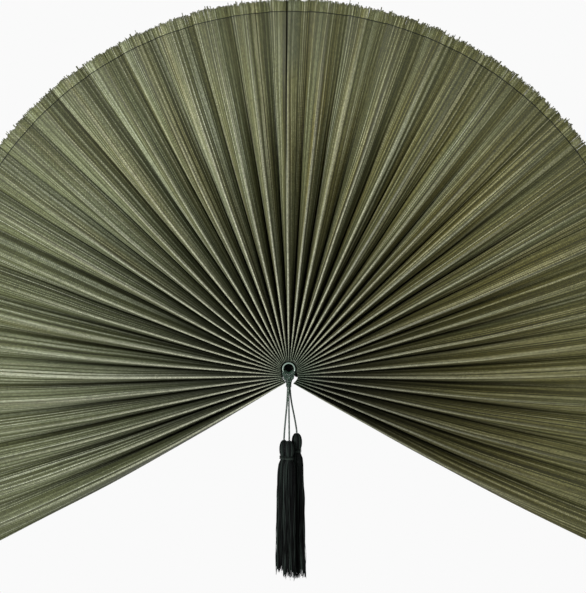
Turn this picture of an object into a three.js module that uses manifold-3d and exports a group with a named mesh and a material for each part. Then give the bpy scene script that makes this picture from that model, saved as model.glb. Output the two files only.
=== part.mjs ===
// Palm leaf fan: a mat of dyed palm splints folded into pleats round a hub eyelet, with three tassels.
// Millimetres. The fan stands in the X-Z plane and faces -Y. The origin is the centre of the hub eyelet.

import * as THREE from 'three';
import { mergeVertices } from 'three/addons/utils/BufferGeometryUtils.js';
import Module from 'manifold-3d';

const wasm = await Module();
wasm.setup();

const { degToRad, lerp } = THREE.MathUtils;
const UP = new THREE.Vector3(0, 0, 1);

// Leaf: its outline
const RIM_RADIUS = 372;
const RIM_LEAN = 4;
const RIM_DEPTH = 7.2;
const SHEET = 0.3;
const RIDGE_LAND = 0.4;
const VALLEY_CLEARANCE = 0.3;

// Leaf: the directions of its folds, in degrees from straight up
const PLEATS_PER_SIDE = 20;
const LAST_RIDGE = 116.6;
const FREE_EDGE = 118.9;
const CROWDING = 2.5;
const WOBBLE = 0.4;
const WOBBLE_STEP = degToRad(137.5);

// Leaf: fold lines pass the hub axis by this many millimetres per radian of their direction,
// which is the thickness that the folded stack keeps when the fan is shut
const STACK_PER_RADIAN = 4.1;
const HUB_SPREAD = 0.9;

// Hub
const EYELET_RADIUS = 6.7;
const EYELET_BEAD = 1.5;
const EYELET_WALL = 0.5;
const EYELET_LENGTH = 12.5;
const GATHERING_CORD = 1.4;
const KNOT_DEPTH = 6;
const KNOT_BULGE = 1.8;
const TAIL_SPLAY = 2.1;
const SEAT_CLEARANCE = 0.3;

// Hitch and collar
const STRAND = 1.8;
const STRAND_ANGLES = [-42, -15, 15, 42];
const STRAND_CLEARANCE = 0.4;
const STRAND_STEP = 0.5;
const BUNDLE_FORWARD = 0.6;
const BUNDLE_LENGTH = 4;
const HITCH_DROP = 16.8;
const COLLAR_THREAD = 0.9;
const COLLAR_TURNS = 2;

// Tassels
const TASSEL_CORD = 1.8;
const CORD_CLEARANCE = 0.4;
const CORD_NESTING = 0.8;
const SWING_CLEARANCE = 0.9;
const TASSEL_CLEARANCE = 0.3;
const HEAD_LENGTH = 15.5;
const NECK_LENGTH = 3.6;
const NECK_DIAMETER = 6.8;
const TIE_THREAD = 0.9;
const TIE_TURNS = 2;
const WINDING_GAP = 0.5;
const SKIRT_WIDTH = 12.4;
const SKIRT_DEPTH = 8.4;
const SKIRT_SWELL = 14;
const SKIRT_FLUTES = 6;
const FLUTE_DEPTH = 0.35;
const BUNCH_X = 1.4;
const MIDDLE_X = 0.7;
const TASSELS = {
  left: { headTop: -72, headDiameter: 8.6, skirtLength: 112, lean: 1 },
  middle: { headTop: -72, headDiameter: 8.6, skirtLength: 117, lean: 0 },
  right: { headTop: -65, headDiameter: 9.6, skirtLength: 125, lean: -2 },
};

// Colours and surfaces
function paint(color, roughness, metalness = 0) {
  return new THREE.MeshStandardMaterial({ color, roughness, metalness });
}

const LEAF_GREEN = paint(0x5c5d3c, 0.75);
const LEAF_OLIVE = paint(0x56543a, 0.75);
const EYELET_METAL = paint(0x5f7a6b, 0.4, 0.6);
const CORD_GREEN = paint(0x2f5340, 0.45);
const DARK_CORD = paint(0x1a241d, 0.8);
const TASSEL_BLACK = paint(0x0d100f, 0.7);

// Values that several pieces share
const halfPitch = degToRad(LAST_RIDGE) / PLEATS_PER_SIDE / 2;
const halfWidth = (distance) => (distance + STACK_PER_RADIAN) * halfPitch;
const panelWidth = Math.hypot(halfWidth(RIM_RADIUS), RIM_DEPTH);
const pleatDepth = (distance) => Math.sqrt(panelWidth ** 2 - halfWidth(distance) ** 2);

const beadRadius = EYELET_BEAD / 2;
const beadCircle = EYELET_RADIUS - beadRadius;
const beadFront = -panelWidth / 2 + beadRadius;
const beadBack = beadFront + EYELET_LENGTH - EYELET_BEAD;
const knotFront = beadBack + beadRadius + SEAT_CLEARANCE;
const knotMiddle = knotFront + KNOT_DEPTH / 2;
const cordSeat = SEAT_CLEARANCE + GATHERING_CORD / 2;
const innerEndAtTop = Math.max(beadCircle + 2 * cordSeat, EYELET_RADIUS + SEAT_CLEARANCE);
const innerEnd = (direction) => innerEndAtTop + HUB_SPREAD * direction ** 2;

const overRim = beadRadius + STRAND / 2 + STRAND_CLEARANCE;
const bundleHalfWidth = (STRAND_STEP * (STRAND_ANGLES.length - 1) + STRAND) / 2;
const bundleY = beadFront - BUNDLE_FORWARD;
const cordTop = -HITCH_DROP - SWING_CLEARANCE;

// Direction of the ridge with this number, in radians from straight up. Negative numbers are on the left.
// The pleats crowd a little towards both ends and wander by hand.
function ridgeDirection(number) {
  const share = number / PLEATS_PER_SIDE;
  const crowding = CROWDING * Math.sin(Math.PI * share);
  const wobble = WOBBLE * Math.sin(WOBBLE_STEP * number) * (1 - share ** 2);
  return degToRad(LAST_RIDGE * share + crowding + wobble);
}

// Direction of the valley between a ridge and its neighbour, or of the free edge beyond the last ridge.
function valleyDirection(number, neighbour) {
  if (Math.abs(neighbour) > PLEATS_PER_SIDE) {
    return degToRad(FREE_EDGE) * Math.sign(neighbour);
  }
  return (ridgeDirection(number) + ridgeDirection(neighbour)) / 2;
}

// A point beside a fold line: a distance out along it, a step across it, and a depth.
function besideFold(direction, distance, across, depth) {
  const side = STACK_PER_RADIAN * direction + across;
  const sine = Math.sin(direction);
  const cosine = Math.cos(direction);
  return new THREE.Vector3(distance * sine + side * cosine, depth, distance * cosine - side * sine);
}

// Joins rings of equally many points into one closed skin. capFaces triangulates the end rings.
// Strips that start at a crossed point are cut along their other diagonal.
function loft(rings, capFaces, crossed = []) {
  const count = rings[0].length;
  const corners = rings.flat();
  const faces = [];
  for (let ring = 0; ring < rings.length - 1; ring += 1) {
    for (let point = 0; point < count; point += 1) {
      const a = ring * count + point;
      const b = ring * count + ((point + 1) % count);
      if (crossed.includes(point)) {
        faces.push(a, b, a + count, b, b + count, a + count);
      } else {
        faces.push(a, b, b + count, a, b + count, a + count);
      }
    }
  }
  const last = (rings.length - 1) * count;
  for (const [a, b, c] of capFaces) {
    faces.push(c, b, a);
    faces.push(last + a, last + b, last + c);
  }
  const geometry = new THREE.BufferGeometry().setFromPoints(corners);
  geometry.setIndex(faces);
  geometry.computeVertexNormals();
  return geometry;
}

// Triangles from the first point of a convex ring.
function fan(count) {
  return Array.from({ length: count - 2 }, (_, step) => [0, step + 1, step + 2]);
}

function circleShape(radius) {
  const points = Array.from({ length: CORD_SIDES }, (_, side) => {
    const turn = (2 * Math.PI * side) / CORD_SIDES;
    return new THREE.Vector2(radius * Math.cos(turn), radius * Math.sin(turn));
  });
  return new THREE.Shape(points);
}

// A round tube along a smooth curve through the points.
const CORD_SIDES = 8;

function tube(points, diameter, steps) {
  const extrudePath = new THREE.CatmullRomCurve3(points);
  const section = circleShape(diameter / 2);
  return new THREE.ExtrudeGeometry(section, { steps, extrudePath, bevelEnabled: false });
}

function toSolid(geometry) {
  const bare = geometry.clone();
  bare.deleteAttribute('normal');
  bare.deleteAttribute('uv');
  const merged = mergeVertices(bare, 1e-4);
  const vertProperties = new Float32Array(merged.attributes.position.array);
  const triVerts = new Uint32Array(merged.index.array);
  return new wasm.Manifold(new wasm.Mesh({ numProp: 3, vertProperties, triVerts }));
}

function toGeometry(solid) {
  const { vertProperties, triVerts } = solid.getMesh();
  const geometry = new THREE.BufferGeometry();
  geometry.setAttribute('position', new THREE.BufferAttribute(vertProperties, 3));
  geometry.setIndex(new THREE.BufferAttribute(triVerts, 1));
  geometry.computeVertexNormals();
  return geometry;
}

function piece(name, geometry, material) {
  const mesh = new THREE.Mesh(geometry, material);
  mesh.name = name;
  return mesh;
}

// One pleat of the mat, from valley fold to valley fold, with its ridge to the front.
// Its section is a V of even sheet thickness, with a narrow land where the ridge is creased.
// A panel twists on its way out, so both its skins are cut from the ridge to the next station's valley:
// different cuts would make the skins cross.
const PLEAT_STATIONS = [0, 0.08, 0.18, 0.28, 0.38, 0.48, 0.57, 0.66, 0.74, 0.81, 0.87, 0.92, 0.96, 1];
const PLEAT_CROSSED = [0, 4];
const PLEAT_CAP = [[0, 1, 6], [1, 5, 6], [1, 2, 5], [2, 4, 5], [2, 3, 4]];

function pleatSection(direction, distance, toLeft, toRight) {
  const depth = pleatDepth(distance);
  const land = RIDGE_LAND / 2;
  const thickness = (SHEET * panelWidth) / depth;
  const left = (distance + STACK_PER_RADIAN) * toLeft - VALLEY_CLEARANCE / 2;
  const right = (distance + STACK_PER_RADIAN) * toRight - VALLEY_CLEARANCE / 2;
  const narrow = Math.min(left, right);
  const crease = -depth / 2 + (depth * (thickness - land)) / (narrow - land);
  const corners = [
    [-left, depth / 2],
    [-land, -depth / 2],
    [land, -depth / 2],
    [right, depth / 2],
    [right - thickness, depth / 2],
    [0, crease],
    [thickness - left, depth / 2],
  ];
  return corners.map(([across, y]) => besideFold(direction, distance, across, y));
}

function pleat(number) {
  const direction = ridgeDirection(number);
  const toLeft = direction - valleyDirection(number, number - 1);
  const toRight = valleyDirection(number, number + 1) - direction;
  const start = innerEnd(direction);
  const end = RIM_RADIUS + RIM_LEAN * Math.sin(direction);
  const rings = PLEAT_STATIONS.map((share) => {
    const distance = lerp(start, end, share);
    return pleatSection(direction, distance, toLeft, toRight);
  });
  return loft(rings, PLEAT_CAP, PLEAT_CROSSED);
}

function pleatName(number) {
  if (number === 0) {
    return 'pleat_centre';
  }
  const side = number < 0 ? 'l' : 'r';
  return `pleat_${side}${String(Math.abs(number)).padStart(2, '0')}`;
}

function leaf() {
  const group = new THREE.Group();
  for (let number = -PLEATS_PER_SIDE; number <= PLEATS_PER_SIDE; number += 1) {
    const material = number < 0 ? LEAF_GREEN : LEAF_OLIVE;
    group.add(piece(pleatName(number), pleat(number), material));
  }
  return group;
}

// Hub eyelet: a short tube along Y whose ends are rolled outwards into round beads.
const BEAD_POINTS = 9;
const HUB_SEGMENTS = 24;

function eyelet() {
  const wallInside = beadCircle - EYELET_WALL;
  const lip = Math.asin(EYELET_WALL / beadRadius);
  const profile = [];
  for (let step = 0; step < BEAD_POINTS; step += 1) {
    const turn = lerp(Math.PI / 2, -Math.PI - lip, step / (BEAD_POINTS - 1));
    profile.push([beadCircle + beadRadius * Math.cos(turn), beadFront + beadRadius * Math.sin(turn)]);
  }
  profile[0] = [beadCircle, beadFront + beadRadius];
  profile[BEAD_POINTS - 1] = [wallInside, beadFront + beadRadius * Math.cos(lip)];
  const length = beadBack - beadFront;
  const mirrored = profile.map(([radius, y]) => [radius, 2 * beadFront + length - y]).reverse();
  const outline = [...profile, ...mirrored, profile[0]];
  const points = outline.map(([radius, y]) => new THREE.Vector2(radius, y)).reverse();
  return new THREE.LatheGeometry(points, HUB_SEGMENTS);
}

// Gathering cord: an inverted U through the inner ends of the pleats.
// Its two tails are drawn back and up to the knot. Each bend is given as shares of the way from the knot
// out to the arch's foot, from the arch back to the knot, and of the cord's diameter below the foot.
const ARCH_STEPS = 20;
const GATHERING_CORD_STEPS = 56;
const TAIL_BENDS = [{ out: 0.62, back: 0.7, below: 0.9 }, { out: 0.9, back: 0.2, below: 0.6 }];

function gatheringCord() {
  const reach = degToRad(FREE_EDGE);
  const arch = Array.from({ length: ARCH_STEPS + 1 }, (_, step) => {
    const direction = lerp(-reach, reach, step / ARCH_STEPS);
    return besideFold(direction, innerEnd(direction) - cordSeat, 0, 0);
  });
  const foot = arch[0];
  const tailTop = -Math.sqrt(beadCircle ** 2 - TAIL_SPLAY ** 2) - SEAT_CLEARANCE;
  const tail = [
    new THREE.Vector3(-TAIL_SPLAY, knotMiddle, tailTop),
    new THREE.Vector3(-TAIL_SPLAY, knotMiddle, tailTop - GATHERING_CORD),
  ];
  for (const { out, back, below } of TAIL_BENDS) {
    tail.push(new THREE.Vector3(foot.x * out, knotMiddle * back, foot.z - GATHERING_CORD * below));
  }
  const otherTail = tail.map(({ x, y, z }) => new THREE.Vector3(-x, y, z)).reverse();
  return tube([...tail, ...arch.slice(1, -1), ...otherTail], GATHERING_CORD, GATHERING_CORD_STEPS);
}

// Gather knot: the tied-off end of the cords behind the eyelet, too wide to be drawn through it.
const KNOT_STEPS = 6;

function gatherKnot() {
  const round = KNOT_DEPTH / 2;
  const flat = beadCircle - KNOT_BULGE;
  const points = [new THREE.Vector2(0, knotFront)];
  for (let step = 0; step <= KNOT_STEPS; step += 1) {
    const turn = lerp(-Math.PI / 2, Math.PI / 2, step / KNOT_STEPS);
    const radius = flat + KNOT_BULGE * Math.cos(turn);
    points.push(new THREE.Vector2(radius, knotMiddle + round * Math.sin(turn)));
  }
  points.push(new THREE.Vector2(0, knotFront + KNOT_DEPTH));
  return new THREE.LatheGeometry(points, HUB_SEGMENTS);
}

// Cord hitch: strands from the knot, through the eyelet and over its lower rim, drawn together under it.
const STRAND_STEPS = 18;
const SLIVER = 0.02;
const RIM_BENDS = [180, 135, 90, 45];

function hitchStrand(index) {
  const angle = degToRad(STRAND_ANGLES[index]);
  const inRadialPlane = (radius, y) => {
    return new THREE.Vector3(radius * Math.sin(angle), y, -radius * Math.cos(angle));
  };
  const inside = beadCircle - overRim;
  const points = [
    inRadialPlane(inside, knotFront - SEAT_CLEARANCE),
    inRadialPlane(inside, knotFront - EYELET_LENGTH / 2),
  ];
  for (const bend of RIM_BENDS.map(degToRad)) {
    const radius = beadCircle + overRim * Math.cos(bend);
    points.push(inRadialPlane(radius, beadFront - overRim * Math.sin(bend)));
  }
  const place = (index - (STRAND_ANGLES.length - 1) / 2) * STRAND_STEP;
  points.push(new THREE.Vector3(place, bundleY, -HITCH_DROP + BUNDLE_LENGTH));
  points.push(new THREE.Vector3(place, bundleY, -HITCH_DROP));
  return tube(points, STRAND, STRAND_STEPS);
}

function cordHitch() {
  const strands = STRAND_ANGLES.map((_, index) => toSolid(hitchStrand(index)));
  return toGeometry(wasm.Manifold.union(strands).simplify(SLIVER));
}

// A thread wound round an upright post: one unbroken tube round the origin, with short straight ends.
const STEPS_PER_TURN = 24;
const THREAD_SIDES = 6;

function winding(name, postRadius, thread, turns) {
  const radius = postRadius + SEAT_CLEARANCE + thread / 2;
  const rise = thread + WINDING_GAP;
  const steps = turns * STEPS_PER_TURN;
  const path = [];
  for (let step = 0; step <= steps; step += 1) {
    const turn = (2 * Math.PI * step) / STEPS_PER_TURN;
    const height = rise * (step / STEPS_PER_TURN - turns / 2);
    path.push(new THREE.Vector3(radius * Math.cos(turn), radius * Math.sin(turn), height));
  }
  const tangentAt = (turn) => new THREE.Vector3(-Math.sin(turn), Math.cos(turn), 0);
  const tangents = path.map((_, step) => tangentAt((2 * Math.PI * step) / STEPS_PER_TURN));
  path.unshift(path[0].clone().addScaledVector(tangents[0], -thread));
  tangents.unshift(tangents[0]);
  path.push(path[path.length - 1].clone().addScaledVector(tangents[tangents.length - 1], thread));
  tangents.push(tangents[tangents.length - 1]);
  let nearest = Infinity;
  for (let first = 0; first < path.length; first += 1) {
    for (let second = first + STEPS_PER_TURN / 2; second < path.length; second += 1) {
      nearest = Math.min(nearest, path[first].distanceTo(path[second]));
    }
  }
  console.log(`${name}: least gap between turns ${(nearest - thread).toFixed(2)} mm`);
  const rings = path.map((centre, step) => {
    const outward = new THREE.Vector3().crossVectors(tangents[step], UP);
    return Array.from({ length: THREAD_SIDES }, (_, side) => {
      const turn = (-2 * Math.PI * side) / THREAD_SIDES;
      const corner = centre.clone().addScaledVector(outward, (thread / 2) * Math.cos(turn));
      return corner.addScaledVector(UP, (thread / 2) * Math.sin(turn));
    });
  });
  return loft(rings, fan(THREAD_SIDES));
}

function collar() {
  const name = 'cord_collar';
  const mesh = piece(name, winding(name, bundleHalfWidth, COLLAR_THREAD, COLLAR_TURNS), CORD_GREEN);
  const height = COLLAR_TURNS * (COLLAR_THREAD + WINDING_GAP) + COLLAR_THREAD;
  mesh.position.set(0, bundleY, -HITCH_DROP + height / 2);
  return mesh;
}

function hub() {
  const group = new THREE.Group();
  group.add(piece('hub_eyelet', eyelet(), EYELET_METAL));
  group.add(piece('gathering_cord', gatheringCord(), DARK_CORD));
  group.add(piece('gather_knot', gatherKnot(), DARK_CORD));
  group.add(piece('cord_hitch', cordHitch(), CORD_GREEN));
  group.add(collar());
  return group;
}

// Where each tassel's cord starts under the collar, and where its head hangs in the bunch.
const cordSpacing = (TASSEL_CORD + CORD_CLEARANCE) / 2;
const cordBack = cordSpacing * CORD_NESTING;
const bunchStep = (SKIRT_DEPTH + TASSEL_CLEARANCE) / 2;
const bunchSpread = (SKIRT_WIDTH + TASSEL_CLEARANCE) / 2;
const CORD_STARTS = {
  left: new THREE.Vector3(-cordSpacing, bundleY + cordBack, cordTop),
  middle: new THREE.Vector3(0, bundleY - cordSpacing, cordTop),
  right: new THREE.Vector3(cordSpacing, bundleY + cordBack, cordTop),
};
const HEAD_PLACES = {
  left: new THREE.Vector3(BUNCH_X - bunchSpread, bundleY + bunchStep, TASSELS.left.headTop),
  middle: new THREE.Vector3(MIDDLE_X, bundleY - bunchStep, TASSELS.middle.headTop),
  right: new THREE.Vector3(BUNCH_X + bunchSpread, bundleY + bunchStep, TASSELS.right.headTop),
};

// The cord hangs straight out of the collar, eases over to its tassel and drops into the head.
const CORD_STEPS = 14;
const CORD_WAY = [{ down: 0.1, over: 0.04 }, { down: 0.35, over: 0.25 }, { down: 0.7, over: 0.72 },
  { down: 0.93, over: 0.98 }];

function tasselCord(side) {
  const start = CORD_STARTS[side];
  const end = HEAD_PLACES[side].clone().addScaledVector(UP, SEAT_CLEARANCE);
  const between = CORD_WAY.map(({ down, over }) => {
    const point = start.clone().lerp(end, over);
    point.z = lerp(start.z, end.z, down);
    return point;
  });
  return tube([start, ...between, end], TASSEL_CORD, CORD_STEPS);
}

// Tassel head: yarn folded over the cord's end, swelling to a dome and drawn in at the neck.
// The dome is given as shares of the head's radius and length.
const HEAD_SEGMENTS = 16;
const SHOULDER = 0.96;
const HEAD_DOME = [{ wide: 0.34, down: 0 }, { wide: 0.66, down: 0.1 }, { wide: 0.9, down: 0.28 },
  { wide: 1, down: 0.52 }, { wide: 0.95, down: 0.8 }];

function tasselHead(headDiameter) {
  const neck = NECK_DIAMETER / 2;
  const bottom = -HEAD_LENGTH - NECK_LENGTH;
  const dome = HEAD_DOME.map(({ wide, down }) => {
    return new THREE.Vector2((headDiameter / 2) * wide, -HEAD_LENGTH * down);
  });
  const points = [
    new THREE.Vector2(0, bottom),
    new THREE.Vector2(neck, bottom),
    new THREE.Vector2(neck, -HEAD_LENGTH * SHOULDER),
    ...dome.reverse(),
    new THREE.Vector2(0, 0),
  ];
  return new THREE.LatheGeometry(points, HEAD_SEGMENTS).rotateX(Math.PI / 2);
}

// Tassel skirt: a soft column of yarn with shallow flutes, flattened where the tassels press together.
// It swells below the neck and then hangs. Levels are shares of the swell's height, then of the length.
const SKIRT_POINTS = 18;
const SWELLING = [{ down: 0, wide: 0 }, { down: 0.2, wide: 0.55 }, { down: 0.5, wide: 0.85 },
  { down: 1, wide: 1 }];
const HANGING = [{ down: 0.4, wide: 0.96 }, { down: 0.75, wide: 1 }, { down: 0.95, wide: 0.97 },
  { down: 1, wide: 0.8 }];

function tasselSkirt(length) {
  const top = -HEAD_LENGTH - NECK_LENGTH - SEAT_CLEARANCE;
  const neck = NECK_DIAMETER / 2;
  const levels = [
    ...SWELLING.map(({ down, wide }) => ({ drop: SKIRT_SWELL * down, swell: wide })),
    ...HANGING.map(({ down, wide }) => ({ drop: length * down, swell: wide })),
  ];
  const rings = levels.map(({ drop, swell }) => {
    return Array.from({ length: SKIRT_POINTS }, (_, point) => {
      const turn = (-2 * Math.PI * point) / SKIRT_POINTS;
      const flute = swell * FLUTE_DEPTH * ((1 - Math.cos(SKIRT_FLUTES * turn)) / 2);
      const x = lerp(neck, SKIRT_WIDTH / 2, swell) - flute;
      const y = lerp(neck, SKIRT_DEPTH / 2, swell) - flute;
      return new THREE.Vector3(x * Math.cos(turn), y * Math.sin(turn), top - drop);
    });
  });
  return loft(rings, fan(SKIRT_POINTS));
}

function tassel(side) {
  const { headDiameter, skirtLength, lean } = TASSELS[side];
  const hanging = new THREE.Group();
  hanging.position.copy(HEAD_PLACES[side]);
  hanging.rotation.y = degToRad(lean);
  hanging.add(piece(`tassel_head_${side}`, tasselHead(headDiameter), TASSEL_BLACK));
  const tieName = `neck_tie_${side}`;
  const tie = piece(tieName, winding(tieName, NECK_DIAMETER / 2, TIE_THREAD, TIE_TURNS), TASSEL_BLACK);
  tie.position.z = -HEAD_LENGTH - NECK_LENGTH / 2;
  hanging.add(tie);
  hanging.add(piece(`tassel_skirt_${side}`, tasselSkirt(skirtLength), TASSEL_BLACK));
  const group = new THREE.Group();
  group.add(piece(`tassel_cord_${side}`, tasselCord(side), CORD_GREEN));
  group.add(hanging);
  return group;
}

const palmLeafFan = new THREE.Group();
palmLeafFan.add(leaf());
palmLeafFan.add(hub());
for (const side of Object.keys(TASSELS)) {
  palmLeafFan.add(tassel(side));
}

export default palmLeafFan;
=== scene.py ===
# %% [markdown]
# # Palm leaf fan
# The object is a large wall fan. A mat of dyed palm splints is folded into forty-one pleats, gathered round a
# small brass eyelet, and trimmed with three tassels on satin cords. The solids come from the packed model, so
# this lesson starts by loading it. Everything here is in metres and in the packed model's own frame: X runs
# across the open fan, Y runs from its face to the wall, and Z points up.

# %% Load the packed model
import math
import random

import bpy
import numpy as np
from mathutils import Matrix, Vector


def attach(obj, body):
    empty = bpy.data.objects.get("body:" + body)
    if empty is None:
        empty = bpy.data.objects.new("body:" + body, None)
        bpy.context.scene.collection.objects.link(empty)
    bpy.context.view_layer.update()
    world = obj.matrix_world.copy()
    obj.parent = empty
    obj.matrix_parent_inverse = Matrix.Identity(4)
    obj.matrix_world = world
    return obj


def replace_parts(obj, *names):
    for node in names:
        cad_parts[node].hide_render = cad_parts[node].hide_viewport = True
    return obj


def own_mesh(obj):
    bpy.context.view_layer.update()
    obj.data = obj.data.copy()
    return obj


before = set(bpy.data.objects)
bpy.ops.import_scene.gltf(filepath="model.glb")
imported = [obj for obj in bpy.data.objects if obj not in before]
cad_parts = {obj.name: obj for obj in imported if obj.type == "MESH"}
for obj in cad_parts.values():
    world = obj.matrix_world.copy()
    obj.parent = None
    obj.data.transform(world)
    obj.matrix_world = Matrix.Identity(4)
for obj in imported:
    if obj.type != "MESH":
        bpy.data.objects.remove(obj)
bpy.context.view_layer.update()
MM = 0.001

# %% [markdown]
# ## The camera
# The photograph is taken from well back, and a few degrees from above and from the right, so the pleats on
# the left show more of their upper sides. A long lens from twelve metres keeps the rim round. A pixel of the
# photograph is about a millimetre of the fan, so the lens follows from the height of the picture, and the aim
# follows from where the eyelet sits in it.

# %% Camera
PICTURE = (586, 593)
EYELET_IN_PICTURE = (288.8, 369.0)
EYELET_FRONT = (0.0, -0.0095, 0.0)
CAMERA_DISTANCE, VIEW_END = 12.0, 50.0
FROM_RIGHT, FROM_ABOVE = math.radians(3.0), math.radians(3.5)
SENSOR, PIXEL = 36.0, 1.007 * MM

camera_data = bpy.data.cameras.new("studio_camera")
camera_data.sensor_width = SENSOR
camera_data.lens = SENSOR * CAMERA_DISTANCE / (max(PICTURE) * PIXEL)
camera_data.clip_end = VIEW_END
camera = bpy.data.objects.new("studio_camera", camera_data)
bpy.context.collection.objects.link(camera)
away = np.array((math.sin(FROM_RIGHT), -math.cos(FROM_RIGHT), math.tan(FROM_ABOVE))) * math.cos(FROM_ABOVE)
rightward = np.array((math.cos(FROM_RIGHT), math.sin(FROM_RIGHT), 0.0))
upward = np.cross(away, rightward)
aim = EYELET_FRONT + rightward * (PICTURE[0] / 2 - EYELET_IN_PICTURE[0]) * PIXEL
aim = aim + upward * (EYELET_IN_PICTURE[1] - PICTURE[1] / 2) * PIXEL
camera.location = aim + away * CAMERA_DISTANCE
camera.rotation_euler = (math.pi / 2 - FROM_ABOVE, 0, FROM_RIGHT)
bpy.context.scene.camera = camera
print("lens:", round(camera_data.lens, 1), "mm, aimed at", aim.round(4))

# %% [markdown]
# ## Nodes and colours
# Every finish below is a small node tree. One function adds a node, sets it and links it, and a few short
# ways to the nodes that the finishes share let a tree read from top to bottom. Colours are written as the hex
# values that an eye-dropper gives, and Blender works in linear light, so one function turns the first into
# the second.


# %% One function for nodes and one for colours
def feed(tree, node, feeds):
    """Sets the inputs of a node, each to a value or to another node's output."""
    for key, value in feeds.items():
        if isinstance(value, bpy.types.NodeSocket):
            tree.links.new(value, node.inputs[key])
        else:
            node.inputs[key].default_value = value


def add(tree, kind, feeds=None, **settings):
    """Adds a node. settings are its own properties; feeds are its inputs."""
    node = tree.nodes.new(kind)
    for key, value in settings.items():
        setattr(node, key, value)
    feed(tree, node, feeds or {})
    return node


def linear(hex_colour):
    """An sRGB hex colour as linear red, green, blue and alpha."""
    channels = [int(hex_colour[at : at + 2], 16) / 255 for at in (1, 3, 5)]
    return [c / 12.92 if c <= 0.04045 else ((c + 0.055) / 1.055) ** 2.4 for c in channels] + [1.0]


print("white in linear light:", [round(c, 3) for c in linear("#fafafa")])


# %% Short ways to the nodes that finishes share
class Nodes:
    """A node tree. Each way adds one kind of node and gives its output."""

    def __init__(self, tree):
        self.tree = tree

    def add(self, kind, output, feeds=None, **settings):
        return add(self.tree, kind, feeds, **settings).outputs[output]

    def parts(self, vector):
        outputs = add(self.tree, "ShaderNodeSeparateXYZ", {0: vector}).outputs
        return outputs["X"], outputs["Y"], outputs["Z"]

    def scaled(self, vector, factor):
        return self.add("ShaderNodeVectorMath", 0, {0: vector, "Scale": factor}, operation="SCALE")

    def sheet_in_mm(self):
        """The place on the sheet laid flat: millimetres across it and along it."""
        return self.scaled(self.add("ShaderNodeUVMap", "UV", uv_map="weave"), 1 / MM)

    def stretched(self, place, wide, long):
        """A place counted in steps of so many millimetres across and along."""
        feeds = {0: place, 1: (1 / wide, 1 / long, 0)}
        return self.add("ShaderNodeVectorMath", 0, feeds, operation="MULTIPLY")

    def slanted(self, place, degrees):
        return self.add("ShaderNodeMapping", 0, {"Vector": place, "Rotation": (0, 0, math.radians(degrees))})

    def calc(self, operation, *values, **settings):
        return self.add("ShaderNodeMath", 0, dict(enumerate(values)), operation=operation, **settings)

    def times(self, first, second, plus=0.0):
        return self.calc("MULTIPLY_ADD", first, second, plus)

    def span(self, value, start, end, low=0.0, high=1.0):
        """A value carried from one range to another and held at its ends."""
        feeds = {"Value": value, "From Min": start, "From Max": end, "To Min": low, "To Max": high}
        return self.add("ShaderNodeMapRange", "Result", feeds)

    def noise(self, place, scale=1.0, detail=2.0, roughness=0.5):
        feeds = {"Vector": place, "Scale": scale, "Detail": detail, "Roughness": roughness}
        return self.add("ShaderNodeTexNoise", "Fac", feeds)

    def ripple(self, place, period, distortion):
        """Waves with a period in millimetres; Blender's own wave repeats every pi / 10 at scale 1."""
        feeds = {"Vector": place, "Scale": math.pi / 10 / period, "Distortion": distortion}
        return self.add("ShaderNodeTexWave", "Fac", feeds)

    def mix(self, share, under, over, **settings):
        """One colour over another; each is a hex colour or an output."""
        under, over = (linear(c) if isinstance(c, str) else c for c in (under, over))
        return self.add("ShaderNodeMix", 2, {0: share, 6: under, 7: over}, data_type="RGBA", **settings)

    def ramp(self, value, steps):
        """Colours along a value, from pairs of a place and a hex colour."""
        node = add(self.tree, "ShaderNodeValToRGB", {"Fac": value})
        while len(node.color_ramp.elements) < len(steps):
            node.color_ramp.elements.new(0.5)
        for element, (place, colour) in zip(node.color_ramp.elements, steps):
            element.position, element.color = place, linear(colour)
        return node.outputs["Color"]

    def bump(self, height, strength, distance):
        feeds = {"Height": height, "Strength": strength, "Distance": distance * MM}
        return self.add("ShaderNodeBump", "Normal", feeds)

    def shader(self, feeds):
        feed(self.tree, self.tree.nodes["Principled BSDF"], feeds)


def new_finish(name):
    """An empty finish: its material and its nodes."""
    material = bpy.data.materials.new(name)
    material.use_nodes = True
    return material, Nodes(material.node_tree)


print("short ways:", sum(not name.startswith("_") for name in vars(Nodes)))

# %% [markdown]
# ## Studio light
# The photograph has a plain near-white ground. Its light comes from the left, about level with the hub:
# pleats at the top are bright on their left sides, and those at the far right hardly differ. So the half of
# the sky behind the fan is a near-white backdrop, the half in front is a dimmer room, paler overhead than
# underfoot, and one soft lamp stands in front on the left. The fan hangs on a wall, so the pale floor lies
# far below it.

# %% Sky
ROOM_STEPS = [(0.0, "#4a4a48"), (0.36, "#646462"), (0.5, "#949492"), (0.7, "#a8a8a6"), (0.9, "#bababa")]
BACKDROP, BACKDROP_FULL = "#fafafa", 0.3  # the backdrop is at full white this far past the side

world = bpy.data.worlds.new("studio")
world.use_nodes = True
world.node_tree.nodes.clear()
sky = Nodes(world.node_tree)
_, backward, skyward = sky.parts(sky.add("ShaderNodeTexCoord", "Generated"))
room = sky.ramp(sky.span(skyward, -1.0, 1.0), ROOM_STEPS)
shade = sky.mix(sky.span(backward, 0.0, BACKDROP_FULL), room, BACKDROP)
glow = sky.add("ShaderNodeBackground", "Background", {"Color": shade, "Strength": 1.0})
add(sky.tree, "ShaderNodeOutputWorld", {"Surface": glow})
bpy.context.scene.world = world
bpy.context.scene.view_settings.view_transform = "Standard"
print("room steps:", len(ROOM_STEPS))

# %% Lamp and floor
LAMP_PLACE, LAMP_AIM = (-0.95, -1.35, 0.03), (0.0, 0.0, 0.12)
LAMP_WIDE, LAMP_POWER = 0.45, 32.0
FLOOR_DROP, FLOOR_HALF = -1.2, 6.0
FLOOR_CORNERS = (-1, -1), (1, -1), (1, 1), (-1, 1)

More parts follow.
